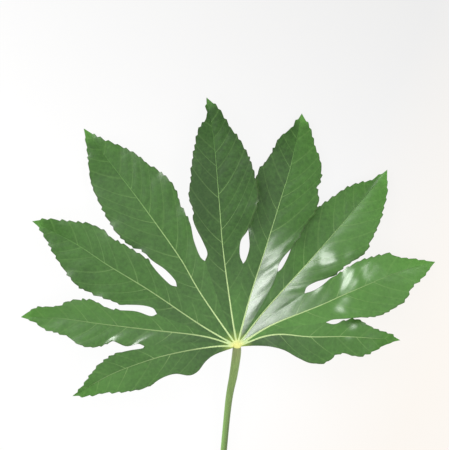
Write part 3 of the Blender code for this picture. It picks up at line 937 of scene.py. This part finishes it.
def vein_rings(sheet, vein, reach, width):
    """Rings round a side vein, which narrows towards the margin."""
    columns = [c for c in range(len(sheet.columns)) if sheet.columns[c] <= reach]
    points = np.array([sheet.at(vein, column) for column in columns])
    rings = []
    for step, point in enumerate(points):
        ahead = points[min(step + 1, len(points) - 1)] - points[max(step - 1, 0)]
        share = step / (len(points) - 1)
        half = blend(width, 0.25 * width, share**0.8) / 2
        face = THICKNESS / 2
        rise = face + blend(VEIN_RISE, 0.02 * MM, share)
        depth = face + blend(0.55, 0.1, share) * width
        section = [
            (half, face - 0.03 * MM), (0, rise), (-half, face - 0.03 * MM),
            (-1.3 * half, -face), (0, -depth), (1.3 * half, -face),
        ]
        rings.append(ring_round(point, ahead, section))
    return rings


def vein_numbers(sheet):
    """The side veins whose roots lie between the first place for one and the last."""
    roots = sheet.vein[:, 0]
    distances = [rib_distance(sheet.half.number, row) for row in sheet.rows]
    last = VEIN_LAST * RIBS[sheet.half.number].length
    first, last = np.interp([VEIN_FIRST, last], distances, roots)
    return range(math.ceil(first), math.floor(last) + 1)


def add_veins(bm, sheets):
    for pair in sheets:
        for sheet in pair:
            chance = random.Random(f"veins {SEED} {sheet.half.number} {sheet.half.sign}")
            for number in vein_numbers(sheet):
                strong = number % 2 == 0
                reach = chance.uniform(0.88, 0.97) if strong else chance.uniform(0.55, 0.85)
                width = (chance.uniform(0.36, 0.46) if strong else chance.uniform(0.18, 0.26)) * MM
                rings = vein_rings(sheet, number, reach, width)
                greens = VEIN_GREENS if strong else SMALL_VEIN_GREENS
                rolled(bm, rings, np.linspace(*greens, len(rings)))


def hub_mesh(sheets):
    """The joint with the roots of the ribs, melted together."""
    bm = bmesh.new()
    bmesh.ops.create_uvsphere(bm, u_segments=32, v_segments=16, radius=1)
    bmesh.ops.scale(bm, vec=(HUB_RADIUS, HUB_RADIUS, HUB_HALF_HEIGHT), verts=bm.verts)
    bmesh.ops.translate(bm, vec=(*HUB_PLACE, MIDDLE_HEIGHT - HUB_DROP), verts=bm.verts)
    for pair in sheets:
        rolled(bm, rib_rings(pair, 0.0, HUB_REACH))
    bmesh.ops.remove_doubles(bm, verts=bm.verts, dist=MERGE)
    bmesh.ops.recalc_face_normals(bm, faces=bm.faces)
    hub = new_object("joint", bm, [])
    melt = hub.modifiers.new("Melt", "REMESH")
    melt.mode = "VOXEL"
    melt.voxel_size = HUB_VOXEL
    soften = hub.modifiers.new("Soften", "SMOOTH")
    soften.factor = 0.5
    soften.iterations = 6
    applied(hub)
    mesh = hub.data
    bpy.data.objects.remove(hub)
    return mesh


def make_ribs(sheets):
    bm = bmesh.new()
    bm.verts.layers.float.new("green")
    for pair in sheets:
        number = pair[0].half.number
        rings = rib_rings(pair, HUB_REACH - 4 * MM, RIB_END * RIBS[number].length)
        shares = np.linspace(0, 1, len(rings))
        rolled(bm, rings, np.interp(shares, RIB_GREENS_AT, (0.0, *LOBES[number].rib_green)))
    add_veins(bm, sheets)
    bmesh.ops.remove_doubles(bm, verts=bm.verts, dist=MERGE)
    bmesh.ops.recalc_face_normals(bm, faces=bm.faces)
    bm.from_mesh(hub_mesh(sheets))
    ribs = new_object("leaf_ribs", bm, [rib_skin()])
    into_place(ribs, 60.0)
    return ribs


def stalk_ring(centre, ahead, radius, distance):
    """One ring of the stalk. Low ridges run along it, and it swells and thins a little."""
    turns = np.arange(STALK_SIDES) / STALK_SIDES * math.tau
    swell = 1 + 0.012 * math.sin(distance / (13 * MM)) + 0.008 * math.sin(distance / (5.3 * MM))
    reach = radius * swell * (1 + STALK_RIDGE * np.cos(STALK_RIDGES * turns))
    return ring_round(centre, ahead, zip(reach * np.sin(turns), -reach * np.cos(turns)))


def make_stalk():
    route = Line([np.array(point) * MM for point in STALK_ROUTE])
    rings = []
    for distance in np.linspace(0, route.length, STALK_RINGS):
        x, y, underside, radius = route.at(distance)
        ahead = (route.at(distance + MM) - route.at(max(distance - MM, 0)))[:3]
        if distance + MM > route.length:
            ahead = (route.at(distance) - route.at(distance - MM))[:3]
        slim = 0.965 * radius
        centre = (x, y, max(underside, 0.0) + radius)
        rings.append(stalk_ring(centre, ahead, slim, distance))
    end = Vector(centre)
    onward = Vector(ahead).normalized()
    for scale, out in ((0.93, 0.0), (0.7, -0.15), (0.35, -0.2)):
        rings.append([end + (point - end) * scale + onward * out * MM for point in rings[STALK_RINGS - 1]])
    bm = bmesh.new()
    painted_light_side = bm.verts.layers.float.new("painted_light_side")
    rolled(bm, rings)
    bmesh.ops.remove_doubles(bm, verts=bm.verts, dist=MERGE)
    bmesh.ops.recalc_face_normals(bm, faces=bm.faces)
    bm.normal_update()
    for vertex in bm.verts:
        # Painted light: 1 where the skin faces left, 0 where it faces right
        vertex[painted_light_side] = (1 - vertex.normal.x) / 2
    for face in bm.faces:
        beyond = (face.calc_center_median() - end).dot(onward)
        face.material_index = int(beyond > -0.02 * MM and abs(face.normal.dot(onward)) > 0.8)
    stalk = new_object("leaf_stalk", bm, [stalk_skin(), stalk_cut()])
    into_place(stalk, 40.0)
    return stalk


def make_floor():
    """A plain pale sheet under the leaf. It glows with painted light of its own, so that shadows stay faint,
    and the glow is painted a shade darker at the far right and warmer at the near right."""
    made, tree, shader = new_material("Pale floor", roughness=0.9)
    shader.inputs["Specular IOR Level"].default_value = 0.0
    shader.inputs["Base Color"].default_value = linear("#3c3b3a")
    place = from_middle(tree)
    beside = ramp(tree, spread(tree, place), *FLOOR_EVENS, 1.0, 0.0)
    glow = linear("#ffffff")
    # Painted shade: the glow dims towards the far right corner, and it warms towards the near right
    for way, reach, tint in (
        ((1, 1, 0), FLOOR_PAINTED_DIMMING, "#ebebeb"),
        ((2, -1, 0), FLOOR_WARMS, "#fbf6f0"),
    ):
        along = add(tree, "ShaderNodeVectorMath", {0: place, 1: way}, operation="DOT_PRODUCT").outputs["Value"]
        share = ramp(tree, along, *reach, 0.0, 1.0)
        glow = mixed(tree, product(tree, share, beside), glow, linear(tint))
    tree.links.new(glow, shader.inputs["Emission Color"])
    shader.inputs["Emission Strength"].default_value = FLOOR_GLOW
    bm = bmesh.new()
    bmesh.ops.create_grid(bm, x_segments=1, y_segments=1, size=6.0)
    floor = new_object("floor", bm, [made])


def aimed(direction):
    return (-Vector(direction)).to_track_quat("-Z", "Y").to_euler()


def add_panel(name, bearing, lean, distance, size, power):
    """A lamp of a width and a height that faces the leaf from a bearing, leaning off the vertical by so many degrees."""
    lamp = bpy.data.lights.new(name, "AREA")
    lamp.shape = "RECTANGLE"
    lamp.size, lamp.size_y = size
    lamp.energy = power
    made = bpy.data.objects.new(name, lamp)
    bpy.context.scene.collection.objects.link(made)
    x, y = polar(bearing, math.sin(math.radians(lean)))
    direction = Vector((x, y, math.cos(math.radians(lean))))
    made.location = Vector((0, 0.06, 0)) + direction * distance
    made.rotation_euler = aimed(direction)
    made.visible_camera = False
    return made


def light():
    world = bpy.data.worlds.new("Soft white room")
    world.use_nodes = True
    sky = world.node_tree.nodes["Background"]
    sky.inputs["Color"].default_value = linear("#fdfcfa")
    sky.inputs["Strength"].default_value = 0.38
    bpy.context.scene.world = world
    for name, bearing, lean, size, power in (
        ("window", 142, 45, (0.85, 0.4), 17.0),
        ("right window", 62, 54, (0.5, 0.3), 3.5),
    ):
        add_panel(name, bearing, lean, 1.7, size, power).visible_diffuse = False
    for number in range(4):
        bearing = 50 + 90 * number
        soft = add_panel(f"fill {number}", bearing, lean=60, distance=1.9, size=(1.4, 0.8), power=18.0)
        soft.visible_glossy = False


def add_camera():
    data = bpy.data.cameras.new("camera")
    data.sensor_width = SENSOR
    data.lens = SENSOR * (CAMERA_HEIGHT - LEAF_LEVEL) / SHOWN
    data.clip_end = 20.0
    camera = bpy.data.objects.new("camera", data)
    bpy.context.scene.collection.objects.link(camera)
    camera.location = MIDDLE + Vector((*CAMERA_OVER, CAMERA_HEIGHT))
    bpy.context.scene.camera = camera


def main():
    add_camera()
    light()
    make_floor()
    sheets = make_sheets()
    for made, node, slot in (
        (make_blade(sheets), "blade", "leaf_green"),
        (make_ribs(sheets), "stalk_and_ribs", "stalk_green"),
        (make_stalk(), "stalk_and_ribs", "stalk_green"),
    ):
        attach(made, "root")
        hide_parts(node)
    scene = bpy.context.scene
    scene.view_settings.view_transform = "Standard"


main()
